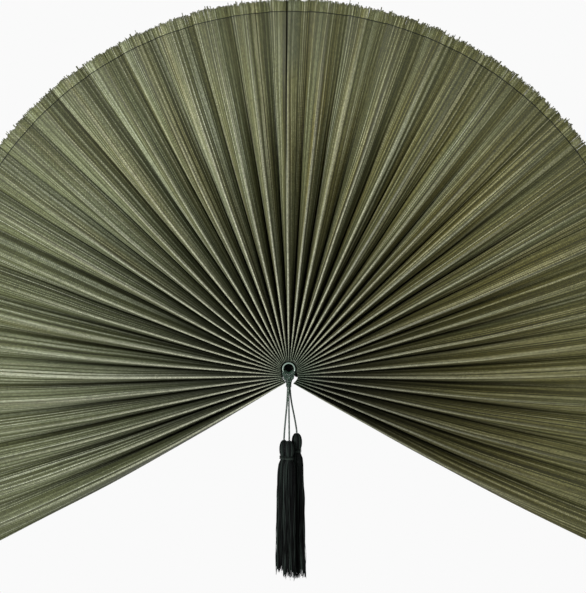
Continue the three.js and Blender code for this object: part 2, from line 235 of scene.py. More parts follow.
lamp_data = bpy.data.lights.new("side_softbox", "AREA")
lamp_data.shape = "DISK"
lamp_data.size = LAMP_WIDE
lamp_data.energy = LAMP_POWER
lamp = bpy.data.objects.new("side_softbox", lamp_data)
bpy.context.collection.objects.link(lamp)
lamp.location = LAMP_PLACE
lamp.rotation_euler = Vector(np.subtract(LAMP_AIM, LAMP_PLACE)).to_track_quat("-Z", "Y").to_euler()

floor_mesh = bpy.data.meshes.new("studio_floor")
floor_points = [(x * FLOOR_HALF, y * FLOOR_HALF, FLOOR_DROP) for x, y in FLOOR_CORNERS]
floor_mesh.from_pydata(floor_points, [], [(0, 1, 2, 3)])
floor = bpy.data.objects.new("studio_floor", floor_mesh)
bpy.context.collection.objects.link(floor)
# rolled matt emulsion: an even, pale ground without shine
floor_paint, rolled = new_finish("matt_emulsion_rolled")
rolled.shader({"Base Color": linear("#efefec"), "Roughness": 0.9})
floor_mesh.materials.append(floor_paint)
print("lamp at", LAMP_PLACE, "floor at", FLOOR_DROP)

# %% [markdown]
# ## Skins
# A pleat, a strand of yarn and a cord are all the same thing to a mesh: rings joined side by side. A skin
# takes rows, each a ring and its places on the sheet, and turns them into one closed piece that rides on a
# body of the packed model. Modelling each by hand would be slow and would not repeat, and a curve with a
# bevel could not carry lobes or be flattened with a fold, so rings it is.


# %% Rings, skins and pieces
class Skin:
    """Rings of points joined into closed surfaces, each point with its UV place, all in millimetres."""

    def __init__(self):
        self.points, self.places, self.faces, self.finishes = [], [], [], []

    def loft(self, rows, finish=0, ladder_caps=False):
        """Joins rows of equal rings. Ends close as one face, or as a ladder if rings run out and back."""
        start = len(self.points)
        for ring, places in rows:
            self.points.extend(ring)
            self.places.extend(places)
        count = len(ring)
        last = len(self.points) - count
        for low in range(start, last, count):
            for at in range(count):
                after = (at + 1) % count
                self.faces.append((low + at, low + after, low + count + after, low + count + at))
        if ladder_caps:
            for at in range(count // 2 - 1):
                far = count - 1 - at
                self.faces.append((start + at, start + far, start + far - 1, start + at + 1))
                self.faces.append((last + at, last + at + 1, last + far - 1, last + far))
        else:
            self.faces.append(tuple(range(start + count - 1, start - 1, -1)))
            self.faces.append(tuple(range(last, last + count)))
        self.finishes.extend([finish] * (len(self.faces) - len(self.finishes)))
        return self

    def piece(self, name, body, materials, slot, node, sharp_from=80.0):
        """The skin as one object in metres that rides on a body and stands for a node of the packed model."""
        mesh = bpy.data.meshes.new(name)
        mesh.from_pydata(np.array(self.points) * MM, [], self.faces)
        mesh.polygons.foreach_set("material_index", self.finishes)
        mesh.polygons.foreach_set("use_smooth", [True] * len(mesh.polygons))
        mesh.set_sharp_from_angle(angle=math.radians(sharp_from))
        corners = np.array([loop.vertex_index for loop in mesh.loops])
        layer = mesh.uv_layers.new(name="weave")
        layer.data.foreach_set("uv", (np.array(self.places)[corners] * MM).ravel())
        for material in materials:
            mesh.materials.append(material)
        mesh.validate()
        made = bpy.data.objects.new(name, mesh)
        bpy.context.collection.objects.link(made)
        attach(made, body)
        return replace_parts(made, node)


print("a skin carries:", *vars(Skin()))


# %% Paths and cords
PATH_STEPS, TURN_STEPS = 40, 28  # between two points of a path, and round one turn of a winding


def columns(*values):
    """Values side by side as the columns of one table; each is a row of them, or one for all."""
    return np.stack(np.broadcast_arrays(*values), axis=-1)


def distance_along(path):
    return np.concatenate([[0], np.cumsum(np.linalg.norm(np.diff(path, axis=0), axis=1))])


def smooth_path(points, count):
    """A smooth line through the points, cut into evenly spaced ones."""
    points = np.array(points, float)
    padded = np.vstack([2 * points[0] - points[1], points, 2 * points[-1] - points[-2]])
    dense = []
    for at in range(1, len(padded) - 2):
        before, here, there, after = padded[at - 1 : at + 3]
        for t in np.linspace(0, 1, PATH_STEPS, endpoint=False):
            curve = 2 * here + (there - before) * t + (2 * before - 5 * here + 4 * there - after) * t**2
            dense.append((curve + (3 * here - before - 3 * there + after) * t**3) / 2)
    dense = np.array(dense + [points[-1]])
    along = distance_along(dense)
    wanted = np.linspace(0, along[-1], count)
    return columns(*(np.interp(wanted, along, run) for run in dense.T))


def cord_rows(path, diameters, sides=12, plies=0, lay=5.0, groove=0.12):
    """Rows along a path, with twisted plies: lay is the length of one turn of the twist, in millimetres."""
    path = np.array(path, float)
    diameters = np.broadcast_to(np.array(diameters, float), len(path))
    tangents = np.gradient(path, axis=0)
    tangents /= np.linalg.norm(tangents, axis=1)[:, None]
    out = np.cross(tangents[0], (0.0, 1.0, 0.0))
    if np.linalg.norm(out) < 0.3:
        out = np.cross(tangents[0], (1.0, 0.0, 0.0))
    turn = 2 * np.pi * np.arange(sides) / sides
    for centre, tangent, diameter, distance in zip(path, tangents, diameters, distance_along(path)):
        out = out - tangent * np.dot(out, tangent)
        out /= np.linalg.norm(out)
        side = np.cross(tangent, out)
        twist = turn - 2 * np.pi * distance / lay
        radius = diameter / 2 * (1 - groove * (0.5 - 0.5 * np.cos(plies * twist)) * (plies > 0))
        ring = centre + radius[:, None] * (np.cos(turn)[:, None] * out + np.sin(turn)[:, None] * side)
        yield ring, columns(diameter * turn / 2, distance)


def wound(radius, turns, rise, top):
    """The path of a thread wound round an upright post, from its top down."""
    turn = np.linspace(0, 2 * np.pi * turns, int(turns * TURN_STEPS) + 1)
    return columns(radius * np.cos(turn), radius * np.sin(turn), top - rise * turn / (2 * np.pi))


print("one turn of thread round a 2 mm post:", distance_along(wound(1.0, 1, 0.0, 0.0))[-1].round(2), "mm")

# %% [markdown]
# ## Satin cord
# The cords are rayon satin: smooth filaments laid in three plies, dyed dark green. Rayon filament is bright
# along the twist, so pale sheen streaks are painted into the cord's colour where a ply would turn to the
# light, and that is what the photograph shows at the hub. The plies are in the mesh, and the filaments, too
# fine to model, are fine waves in the bump.

# %% Finish: twisted rayon satin
FILAMENT = 0.35  # millimetres; a real filament is far finer and would not show
SATIN_SLANT = 32  # degrees between the filaments and the cord
STREAK_WIDE, STREAK_LONG = 0.9, 9.0

rayon_satin, satin = new_finish("rayon_satin_twisted")
slant = satin.slanted(satin.sheet_in_mm(), SATIN_SLANT)
painted_sheen_streak = satin.noise(satin.stretched(slant, STREAK_WIDE, STREAK_LONG))
satin.shader({
    # dyed filament is deep green, with paler streaks painted in as sheen where the light would run along it
    "Base Color": satin.ramp(painted_sheen_streak, [(0.34, "#08130d"), (0.74, "#2e4a3a")]),
    "Normal": satin.bump(satin.ripple(slant, 2 * FILAMENT, 1.5), 0.5, 0.1),
    "Roughness": 0.3,
    "Specular IOR Level": 0.55,
})
print("finish:", rayon_satin.name)

# %% [markdown]
# ## Where the hub and tassels are
# These sizes repeat the solids, in millimetres, because a cord has to lie where its solid is. The eyelet is
# the origin. The cords hang from a collar just under it, and the three tassels bunch together below.

# %% Sizes of the hub and tassels
RIM_RADIUS, RIM_LEAN, RIM_DEPTH = 372.0, 4.0, 7.2
PLEATS_PER_SIDE, LAST_RIDGE, FREE_EDGE = 20, 116.6, 118.9  # the last two in degrees from the middle
STACK_PER_RADIAN = 4.1  # fold lines pass the middle of the eyelet side by side, as the shut stack lies
HALF_PITCH = math.radians(LAST_RIDGE) / PLEATS_PER_SIDE / 2
PANEL_WIDTH = math.hypot((RIM_RADIUS + STACK_PER_RADIAN) * HALF_PITCH, RIM_DEPTH)
EYELET_RADIUS, EYELET_BEAD, EYELET_WALL, EYELET_LENGTH = 6.7, 1.5, 0.5, 12.5
BEAD_RADIUS = EYELET_BEAD / 2
BEAD_CIRCLE = EYELET_RADIUS - BEAD_RADIUS
BEAD_FRONT = -PANEL_WIDTH / 2 + BEAD_RADIUS
BEAD_BACK = BEAD_FRONT + EYELET_LENGTH - EYELET_BEAD
SEAT = 0.3
KNOT_DEPTH = 6.0
KNOT_FRONT = BEAD_BACK + BEAD_RADIUS + SEAT
KNOT_MIDDLE = KNOT_FRONT + KNOT_DEPTH / 2
STRAND = 1.8
OVER_RIM = BEAD_RADIUS + STRAND / 2 + 0.4
BUNDLE_Y = BEAD_FRONT - 0.6
HITCH_DROP, COLLAR_HEIGHT = 16.8, 3.7
TASSEL_CORD = 1.8
SKIRT_WIDTH, SKIRT_DEPTH, SKIRT_SWELL = 12.4, 8.4, 14.0
HEAD_LENGTH, NECK_LENGTH, NECK_DIAMETER = 15.5, 3.6, 6.8
CORD_TOP, BUNCH_X, HEADS_APART, HEADS_DEEP = -17.7, 1.4, 6.35, 4.35
TASSELS = {}
# where the cord starts, where the head hangs, the head's width, the skirt's length, and the lean in degrees
for side, start, start_deep, x, deep, z, wide, skirt, lean in (
    ("left", -1.1, 0.88, BUNCH_X - HEADS_APART, HEADS_DEEP, -72.0, 9.4, 112.0, 1.0),
    ("middle", 0.0, -1.1, BUNCH_X / 2, -HEADS_DEEP, -72.0, 9.8, 117.0, 0.0),
    ("right", 1.1, 0.88, BUNCH_X + HEADS_APART, HEADS_DEEP, -65.0, 10.6, 125.0, -1.2),
):
    TASSELS[side] = {"cord": (start, BUNDLE_Y + start_deep, CORD_TOP), "head": (x, BUNDLE_Y + deep, z)}
    TASSELS[side].update(wide=wide, skirt=skirt, lean=lean)
print("panel width", round(PANEL_WIDTH, 2), "bundle at y", round(BUNDLE_Y, 2))

# %% [markdown]
# ## Tassel cords
# Each tassel hangs on its own limp cord, about 55 mm of it, which the photograph shows from end to end. It
# comes straight down out of the collar, eases over to its tassel and drops into the head. A mesh tube with
# three plies shows the twist that a plain bevelled curve would not.

# %% Tassel cords
IN_COLLAR, IN_HEAD = 1.4, 1.0
CORD_WAY = [(0.1, 0.04), (0.35, 0.25), (0.7, 0.72), (0.93, 0.98)]  # shares of the way down and over
PLY_LAY = 5.2

satin_cords, cord_paths = {}, {}
for side, tassel in TASSELS.items():
    start, end = np.array(tassel["cord"]), np.array(tassel["head"]) + (0, 0, SEAT)
    way = [start + (0, 0, IN_COLLAR), start]
    for down, over in CORD_WAY:
        point = start + (end - start) * over
        point[2] = start[2] + (end[2] - start[2]) * down
        way.append(point)
    path = smooth_path(way + [end - (0, 0, IN_HEAD)], 150)
    cord = Skin().loft(cord_rows(path, TASSEL_CORD, sides=18, plies=3, lay=PLY_LAY)).piece(
        f"satin_cord_{side}", f"tassel_{side}", [rayon_satin], "satin_cord", f"tassel_cord_{side}"
    )
    satin_cords[side], cord_paths[side] = cord, path
    print(cord.name, distance_along(path)[-1].round(1), "mm long")

# %% [markdown]
# ## Tassel yarn
# The tassels are spun rayon yarn, dyed black with a green cast. Spun yarn is a bundle of short fibres, so it
# is dull, and the twist of each yarn is a slanted wave in the bump. Along a stretch of their length some
# yarns are painted greener and a little paler, as highlight lines.

# %% Finish: spun rayon yarn
YARN, YARN_TWIST, YARN_SLANT = 1.15, 1.6, 38
HIGHLIGHT_STRETCH_LONG = 25.0

rayon_yarn, yarn = new_finish("rayon_yarn_spun")
in_mm = yarn.sheet_in_mm()
twist = yarn.ripple(yarn.slanted(in_mm, YARN_SLANT), YARN_TWIST, 2.0)
painted_highlight_stretch = yarn.noise(yarn.stretched(in_mm, 1, HIGHLIGHT_STRETCH_LONG), scale=0.35, detail=3.0)
yarn.shader({
    # painted highlight: some yarns are paler and greener along a stretch
    "Base Color": yarn.ramp(painted_highlight_stretch, [(0.48, "#020303"), (0.74, "#2c3631")]),
    "Normal": yarn.bump(twist, 0.6, 0.2),
    "Roughness": 0.6,
    "Specular IOR Level": 0.07,
})
# the neck thread is the same yarn wound tight, painted lighter as a highlight where its flat fibres catch
# light
yarn_painted_lighter = rayon_yarn.copy()
yarn_painted_lighter.name = "rayon_yarn_wound_painted_lighter"
painted_lighter_ramp = next(node for node in yarn_painted_lighter.node_tree.nodes if node.type == "VALTORGB").color_ramp
painted_lighter_ramp.elements[0].color, painted_lighter_ramp.elements[1].color = linear("#111613"), linear("#57655d")
print("finishes:", rayon_yarn.name, yarn_painted_lighter.name)

# %% [markdown]
# ## Tassels
# A tassel is a hank of yarn folded over its cord, bound at the neck and cut at the foot. So the head is a
# dome of upright yarns, the neck is a thread wound round it, and the skirt is a crowd of separate yarns round
# a core, cut a little unevenly. Only a crowd of strands gives the ragged foot and the fine upright lines of
# the photograph.

# %% Tassel heads
HEAD_DOME = [(0.1, 0.0), (0.34, 0.0), (0.52, 0.04), (0.66, 0.1), (0.8, 0.18), (0.9, 0.28), (0.97, 0.4)]
HEAD_DOME += [(1.0, 0.52), (0.99, 0.66), (0.95, 0.8), (0.86, 0.92), (0.76, 1.0)]
HEAD_YARNS, POINTS_PER_YARN, YARN_GROOVE = 22, 6, 0.05


def leaned(points, tassel):
    """Points of a tassel that hangs from the origin, leaned and moved to where it hangs."""
    points = np.array(points, float)
    angle = math.radians(tassel["lean"])
    x = points[:, 0] * math.cos(angle) + points[:, 2] * math.sin(angle)
    z = points[:, 2] * math.cos(angle) - points[:, 0] * math.sin(angle)
    return columns(x, points[:, 1], z) + tassel["head"]


head_pieces = {}
turn = -2 * np.pi * np.arange(HEAD_YARNS * POINTS_PER_YARN) / (HEAD_YARNS * POINTS_PER_YARN)
grooved = 1 - YARN_GROOVE * (0.5 - 0.5 * np.cos(HEAD_YARNS * turn))
for side, tassel in TASSELS.items():
    neck = [(NECK_DIAMETER / tassel["wide"], 1.0 + share * NECK_LENGTH / HEAD_LENGTH) for share in (0.4, 1)]
    rows = []
    for wide, down in HEAD_DOME + neck:
        radius, height = tassel["wide"] / 2 * wide * grooved, -HEAD_LENGTH * down
        ring = leaned(columns(radius * np.cos(turn), radius * np.sin(turn), height), tassel)
        rows.append((ring, columns(-turn * tassel["wide"] / 2, height)))
    head_pieces[side] = Skin().loft(rows).piece(
        f"head_yarn_{side}",
        f"tassel_{side}",
        [rayon_yarn],
        "tassel_yarn",
        f"tassel_head_{side}",
        sharp_from=70,
    )
    print(head_pieces[side].name, HEAD_YARNS, "yarns round")

# %% Neck bindings
BINDING_THREAD, BINDING_TURNS = 1.1, 3.0
BINDING_RISE = BINDING_THREAD * 1.04

binding_pieces = {}
for side, tassel in TASSELS.items():
    path = wound((NECK_DIAMETER + BINDING_THREAD) / 2, BINDING_TURNS, BINDING_RISE, -HEAD_LENGTH - 0.2)
    rows = cord_rows(leaned(path, tassel), BINDING_THREAD, sides=8, plies=2, lay=2.2)
    binding_pieces[side] = Skin().loft(rows).piece(
        f"neck_binding_{side}", f"tassel_{side}", [yarn_painted_lighter], "tassel_yarn", f"neck_tie_{side}"
    )
    print(binding_pieces[side].name, distance_along(path)[-1].round(1), "mm of thread")

# %% Tassel skirts
SWELLING = [(0.0, 0.0), (0.2, 0.55), (0.5, 0.85), (1.0, 1.0)]
OUTER_YARNS, INNER_YARNS, LOOSE_FIBRES = 32, 18, 22
INNER_LAYER, CORE_LENGTH, FIBRE_LONGER = 0.68, 0.92, 3.0
CORE_AT_NECK, CORE_SWELL = 0.528, 0.352
YARN_SWAY, FIBRE_SWAY, SWAY_FROM = 0.45, 0.9, 40.0
chance = random.Random(11)

for side, tassel in TASSELS.items():
    skin = Skin()
    top = -HEAD_LENGTH - NECK_LENGTH - SEAT
    yarns = [(share / OUTER_YARNS, 1.0) for share in range(OUTER_YARNS)]
    yarns += [(share / INNER_YARNS, INNER_LAYER) for share in range(INNER_YARNS)]
    yarns += [(chance.random(), chance.uniform(0.98, 1.06)) for _ in range(LOOSE_FIBRES)]
    for order, (share, layer) in enumerate(yarns + [(0.0, 0.0)]):
        loose = OUTER_YARNS + INNER_YARNS <= order < len(yarns)
        angle = 2 * np.pi * (share + chance.uniform(-0.006, 0.006))
        length = tassel["skirt"] * (chance.uniform(0.95, 1.02) if layer else CORE_LENGTH)
        length += FIBRE_LONGER * loose
        drops = np.linspace(0, length, 22)
        swell = np.interp(drops / SKIRT_SWELL, *zip(*SWELLING))
        start_x, start_y, wave = chance.uniform(0, 6.3), chance.uniform(0, 6.3), chance.uniform(55, 90)
        sway = (FIBRE_SWAY if loose else YARN_SWAY) * np.clip(drops / SWAY_FROM, 0, 1) * (layer > 0)
        neck = (NECK_DIAMETER - YARN) / 2 * layer
        x = (neck + ((SKIRT_WIDTH - YARN) / 2 * layer - neck) * swell) * math.cos(angle)
        y = (neck + ((SKIRT_DEPTH - YARN) / 2 * layer - neck) * swell) * math.sin(angle)
        x = x + sway * np.sin(2 * np.pi * drops / wave + start_x)
        y = y + sway * 0.5 * np.sin(2 * np.pi * drops / wave + start_y)
        path = leaned(columns(x, y, top - drops), tassel)
        thick = YARN * (chance.uniform(0.3, 0.4) if loose else chance.uniform(0.92, 1.08))
        thick = thick * np.interp(length - drops, (0, 8), (0.5, 1.0))  # the cut ends are worn thin
        if not layer:
            # the one yarn in the middle is a thick core that keeps light from passing between the others
            thick = NECK_DIAMETER * (CORE_AT_NECK + CORE_SWELL * swell)
        rows = cord_rows(path, thick, sides=7 if layer else 12)
        skin.loft((ring, places + (9.0 * order, 0.0)) for ring, places in rows)
    skirt = skin.piece(
        f"skirt_yarn_{side}", f"tassel_{side}", [rayon_yarn], "tassel_yarn", f"tassel_skirt_{side}"
    )
    print(skirt.name, len(yarns), "yarns")

for side, cord in satin_cords.items():
    path = cord_paths[side] * MM
    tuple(path[0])
    print("declared", cord.name)

# %% [markdown]
# ## Hitch and collar
# Four doubled strands of the same satin come forward through the eyelet and turn over its lower rim. Seven of
# the eight cords lie side by side there, and the last one on the right crosses in front of them. All are
# drawn together into a bundle, and a thread wound round the bundle, the collar, hides where the tassel cords
# start. The cords are squeezed in the collar, so they grow thinner there: seven lie round one.

# %% Hitch strands
HITCH_CORDS, HITCH_SPREAD, HITCH_HALF = 8, 56.0, 4.4
# for each cord, its share of the half width to the side, and its place forward; the last crosses the others
HITCH_LAY = [(-1.0, 0.3), (-0.68, 0.4), (-0.34, 0.4), (0.0, 0.4), (0.34, 0.4), (0.68, 0.4), (1.0, 0.3)]
HITCH_LAY += [(0.1, 1.8)]
SQUEEZED, ROUND_ONE, GATHERS = 1.05, 1.15, 4.4  # GATHERS is how far above its end the bundle draws in
LAY_LEVEL = -EYELET_RADIUS - 2.3
RIM_BENDS = (180, 155, 130, 105, 80, 55)

around = 2 * np.pi * np.arange(HITCH_CORDS - 1) / (HITCH_CORDS - 1)
packed = sorted([(ROUND_ONE * math.cos(a), ROUND_ONE * math.sin(a)) for a in around] + [(0.0, 0.0)])
spread = np.linspace(-HITCH_SPREAD, HITCH_SPREAD, HITCH_CORDS)
hitch = Skin()
for degrees, (across, deep), (share, forward) in zip(spread, packed, HITCH_LAY):
    angle = math.radians(degrees)
    radial = np.array((math.sin(angle), 0.0, -math.cos(angle)))
    inside = (KNOT_FRONT - SEAT, KNOT_FRONT - EYELET_LENGTH / 2)
    way = [radial * (BEAD_CIRCLE - OVER_RIM) + (0, y, 0) for y in inside]
    for bend in np.radians(RIM_BENDS):
        out, fore = OVER_RIM * math.cos(bend), OVER_RIM * math.sin(bend)
        way.append(radial * (BEAD_CIRCLE + out) + (0, BEAD_FRONT - fore, 0))
    way.append(np.array((share * HITCH_HALF, BUNDLE_Y - forward, LAY_LEVEL)))
    way.append(np.array((2.2 * across, BUNDLE_Y + deep, -HITCH_DROP + GATHERS)))
    way.append(np.array((across, BUNDLE_Y + deep, -HITCH_DROP)))
    path = smooth_path(way, 90)
    squeeze = (-HITCH_DROP + GATHERS - 1.0, -HITCH_DROP + GATHERS + 0.2)
    thick = np.interp(path[:, 2], squeeze, (SQUEEZED, STRAND))
    hitch.loft(cord_rows(path, thick, sides=18, plies=3, lay=PLY_LAY, groove=0.1))
hitch_strands = hitch.piece("hitch_strands", "hub", [rayon_satin], "satin_cord", "cord_hitch")
print(hitch_strands.name, HITCH_CORDS, "cords")

# %% Collar
COLLAR_THREAD, COLLAR_TURNS, COLLAR_RADIUS = 0.9, 5, 2.4
path = wound(COLLAR_RADIUS, COLLAR_TURNS, COLLAR_THREAD * 1.06, -HITCH_DROP + COLLAR_HEIGHT)
collar = Skin().loft(cord_rows(path + (0, BUNDLE_Y, 0), COLLAR_THREAD, sides=10, plies=2, lay=2.4))
collar_winding = collar.piece("collar_winding", "hub", [rayon_satin], "satin_cord", "cord_collar")
print(collar_winding.name, COLLAR_TURNS, "turns")

# %% [markdown]
# ## Eyelet
# The eyelet is a short brass tube whose ends were rolled outwards in a press, then lacquered grey-green to
# match the leaf. Lacquer over metal is a smooth paint with a clear coat. It is rubbed through in patches, and
# there a little brass shows.

# %% Finish: lacquered brass
lacquered_brass, lacquer = new_finish("brass_rolled_lacquered")
in_mm = lacquer.scaled(lacquer.add("ShaderNodeTexCoord", "Object"), 1 / MM)
worn = lacquer.span(lacquer.noise(in_mm, 0.8, 6.0, 0.7), 0.6, 0.7)
mottle = lacquer.noise(in_mm, 2.5, 3.0)
lacquer.shader({
    # a hard grey-green shine, warm and metallic only where it is rubbed through
    "Base Color": lacquer.mix(worn, "#72857a", "#8d8058"),
    "Roughness": lacquer.span(mottle, 0.0, 1.0, 0.25, 0.5),
    "Metallic": worn,
    "Normal": lacquer.bump(mottle, 0.15, 0.1),
    "Coat Weight": 0.3,
})
print("finish:", lacquered_brass.name)

# %% Rolled eyelet
ROUND, CURL_STEPS, OUTLINE_STEP = 96, 17, 0.4
lip = math.asin(EYELET_WALL / BEAD_RADIUS)
curl = np.linspace(math.pi / 2, -math.pi - lip, CURL_STEPS)
front = [(BEAD_CIRCLE + BEAD_RADIUS * math.cos(a), BEAD_FRONT + BEAD_RADIUS * math.sin(a)) for a in curl]
front[-1] = (BEAD_CIRCLE - EYELET_WALL, BEAD_FRONT + BEAD_RADIUS * math.cos(lip))
outline = front + [(radius, BEAD_FRONT + BEAD_BACK - y) for radius, y in reversed(front)]
eyelet = Skin()
for step in range(ROUND):
    turn = 2 * math.pi * step / ROUND
    eyelet.points.extend((radius * math.sin(turn), y, radius * math.cos(turn)) for radius, y in outline)
    eyelet.places.extend((EYELET_RADIUS * turn, at * OUTLINE_STEP) for at in range(len(outline)))
    low, high = step * len(outline), (step + 1) % ROUND * len(outline)
    for at in range(len(outline)):
        after = (at + 1) % len(outline)
        eyelet.faces.append((low + after, low + at, high + at, high + after))
eyelet.finishes = [0] * len(eyelet.faces)
eyelet_rolled = eyelet.piece(
    "eyelet_rolled", "hub", [lacquered_brass], "lacquered_brass", "hub_eyelet", sharp_from=60
)
print(eyelet_rolled.name, len(eyelet.faces), "faces")

# %% [markdown]
# ## Gathering cord and knot
# The inner ends of the pleats are strung on a waxed thread, drawn tight in an arch round the eyelet and tied
# off behind it. The thread goes round more than once, so it fills the space between the eyelet and the
# pleats. It is coloured near black, so it is painted shade in that space from the front, and it is dull with
# a faint shine on the twist. The knot is hidden from the front, where its near-black plug closes the hole as
# painted shade, and from behind it is a small lump of crossing turns.

# %% Finish: waxed linen thread
WAX_GRAIN, WAX_SLANT = 0.5, 40

dark_thread_painted_shade, wax = new_finish("linen_thread_dark_painted_shade")
in_mm = wax.sheet_in_mm()
fibre = wax.ripple(wax.slanted(in_mm, WAX_SLANT), WAX_GRAIN, 3.0)
wax.shader({
    # nearly black as painted shade, a little paler where the wax is thin
    "Base Color": wax.ramp(wax.noise(in_mm, 0.6, 4.0), [(0.3, "#070a06"), (0.75, "#1c2017")]),
    "Normal": wax.bump(fibre, 0.5, 0.1),
    "Roughness": 0.6,
    "Specular IOR Level": 0.2,
})
print("finish:", dark_thread_painted_shade.name)

# %% [markdown]
# ## The folds of the leaf
# The mat is a rectangle of even width, folded back and forth, so every panel is as wide at the hub as at the
# rim. At the rim a pleat is drawn out almost flat, and at the hub it is shut. That one rule gives the depth
# of the folds everywhere. Folds are numbered from the middle: even numbers are ridges, odd numbers are the
# valleys between.

# %% Fold lines
CROWDING, WOBBLE, WOBBLE_STEP = 2.5, 0.4, math.radians(137.5)
GATHERING_CORD, HUB_SPREAD = 1.4, 0.9
CORD_SEAT = SEAT + GATHERING_CORD / 2
INNER_END_AT_TOP = BEAD_CIRCLE + 2 * CORD_SEAT
LEAF_CLEAR, FURTHER_IN = 8.2, 3.5
DRAWN_IN_TO, DRAWN_IN_OVER = 1.9, 0.8  # radians from the middle


def ridge_direction(number):
    share = number / PLEATS_PER_SIDE
    crowding = CROWDING * math.sin(math.pi * share)
    wobble = WOBBLE * math.sin(WOBBLE_STEP * number) * (1 - share**2)
    return math.radians(LAST_RIDGE * share + crowding + wobble)


def fold_direction(fold):
    if abs(fold) > 2 * PLEATS_PER_SIDE:
        return math.copysign(math.radians(FREE_EDGE), fold)
    low, high = math.floor(fold / 2), math.ceil(fold / 2)
    return (ridge_direction(low) + ridge_direction(high)) / 2


def pleat_depth(distance):
    return np.sqrt(PANEL_WIDTH**2 - ((distance + STACK_PER_RADIAN) * HALF_PITCH) ** 2)


def inner_end(direction):
    return INNER_END_AT_TOP + HUB_SPREAD * direction**2


def nearest_pass(clear, direction):
    """The distance out at which a fold line is as far from the middle of the eyelet as it has to be."""
    return math.sqrt(max(clear**2 - (STACK_PER_RADIAN * direction) ** 2, 0.0))


def leaf_start(direction):
    """Where a pleat starts: the upper ones come in as near the eyelet as their fold lines pass."""
    least = 0.75 if direction < 0 else 0.25
    drawn = float(np.clip((DRAWN_IN_TO - abs(direction)) / DRAWN_IN_OVER, least, 1))
    inward = max(nearest_pass(LEAF_CLEAR, direction), inner_end(direction) - FURTHER_IN * drawn)
    return min(inner_end(direction), inward)


def rim(direction):
    return RIM_RADIUS + RIM_LEAN * math.sin(direction)


def beside_fold(direction, distance, across=0.0, depth=0.0):
    """Points beside a fold line: a distance out along it, a step across it, and a depth."""
    side = STACK_PER_RADIAN * direction + across
    x = distance * math.sin(direction) + side * math.cos(direction)
    z = distance * math.cos(direction) - side * math.sin(direction)
    return columns(x, depth, z)


print("depth at hub", round(float(pleat_depth(8.0)), 1), "at rim", round(float(pleat_depth(RIM_RADIUS)), 1))

# %% Gathering cord
TAIL_SPLAY, ARCH_REACH, GATHERING_LAY = 2.1, 1.75, 3.2
ROW_CLEAR, ROW_STEP, ROW_LIFT = 7.35, 1.25, 0.6
# each further row: how far round it goes, in radians, and its depth
GATHERING_ROWS = [(1.75, -2.0), (1.7, -4.0), (1.6, -6.0), (1.75, 1.5), (1.75, 4.5), (1.75, 7.5)]

arch = [beside_fold(at, inner_end(at) - CORD_SEAT) for at in np.linspace(-ARCH_REACH, ARCH_REACH, 21)]
foot = arch[0]
tail_top = -math.sqrt(BEAD_CIRCLE**2 - TAIL_SPLAY**2) - SEAT
tail = [np.array((-TAIL_SPLAY, KNOT_MIDDLE, tail_top - drop)) for drop in (0.0, GATHERING_CORD)]
for out, behind, above in ((0.55, 0.8, 3.4), (0.82, 0.35, 1.4)):
    tail.append(np.array((foot[0] * out, KNOT_MIDDLE * behind, foot[2] + above)))
other_tail = [point * (-1, 1, 1) for point in reversed(tail)]
path = smooth_path(tail + arch[1:-1] + other_tail, 220)
gathering = Skin().loft(cord_rows(path, GATHERING_CORD, sides=12, plies=2, lay=GATHERING_LAY))
for row, (most, depth) in enumerate(GATHERING_ROWS, start=1):
    inward = ROW_STEP * row if depth < 0 else ROW_LIFT
    turns = []
    for at in np.linspace(-most, most, 41):
        distance = max(inner_end(at) - CORD_SEAT - inward, nearest_pass(ROW_CLEAR, at))
        turns.append(beside_fold(at, distance, 0.0, depth))
    gathering.loft(cord_rows(smooth_path(turns, 160), GATHERING_CORD, sides=10, plies=2, lay=GATHERING_LAY))
gather_thread = gathering.piece("gather_thread", "hub", [dark_thread_painted_shade], "waxed_thread", "gathering_cord")
print(gather_thread.name, distance_along(path)[-1].round(1), "mm long")

# %% Knot behind the eyelet
KNOT_TURNS, KNOT_LOBES, KNOT_THREAD = 3, 5, 2.1
KNOT_RING, KNOT_WEAVE = 0.56, 0.26  # shares of the eyelet's inner circle
# inside the turns, as shares of that circle and places back
PLUG = [(0.02, 1.8), (0.6, 1.7), (0.93, 1.0), (0.93, -1.2), (0.6, -2.3), (0.02, -2.4)]

turn = np.linspace(0, 2 * np.pi * KNOT_TURNS, 360)
lobe = KNOT_LOBES * turn / KNOT_TURNS
ring_radius = BEAD_CIRCLE * (KNOT_RING + KNOT_WEAVE * np.cos(lobe))
weave = (KNOT_DEPTH - KNOT_THREAD) / 2 * np.sin(lobe)
path = columns(ring_radius * np.cos(turn), KNOT_MIDDLE + weave, ring_radius * np.sin(turn))
knot = Skin().loft(cord_rows(path, KNOT_THREAD, sides=12, plies=2, lay=4.0))
turn = 2 * np.pi * np.arange(24) / 24
rows = []
for wide, back in PLUG:
    radius = BEAD_CIRCLE * wide
    ring = columns(radius * np.cos(turn), KNOT_MIDDLE + back, radius * np.sin(turn))
    rows.append((ring, columns(turn * 3, back)))
# the plug of near-black thread closes the hole: painted shade
knot.loft(rows)
knot_wound = knot.piece("knot_wound", "hub", [dark_thread_painted_shade], "waxed_thread", "gather_knot")
print(knot_wound.name, KNOT_LOBES, "lobes")

# %% [markdown]
# ## Woven palm splints
# Palm leaf is split into flat splints about a millimetre wide, dyed in a weak bath and woven with a fine
# cross thread. Each splint takes the dye differently, so the mat is a run of narrow streaks of olive, khaki,
# brown and grey-green that drift slowly along their length. The UV map is the mat laid flat, in real
# millimetres, so the splints converge on the hub with the folds as the real ones do. Along a splint, places
# are counted from the rim: they are negative towards the hub.

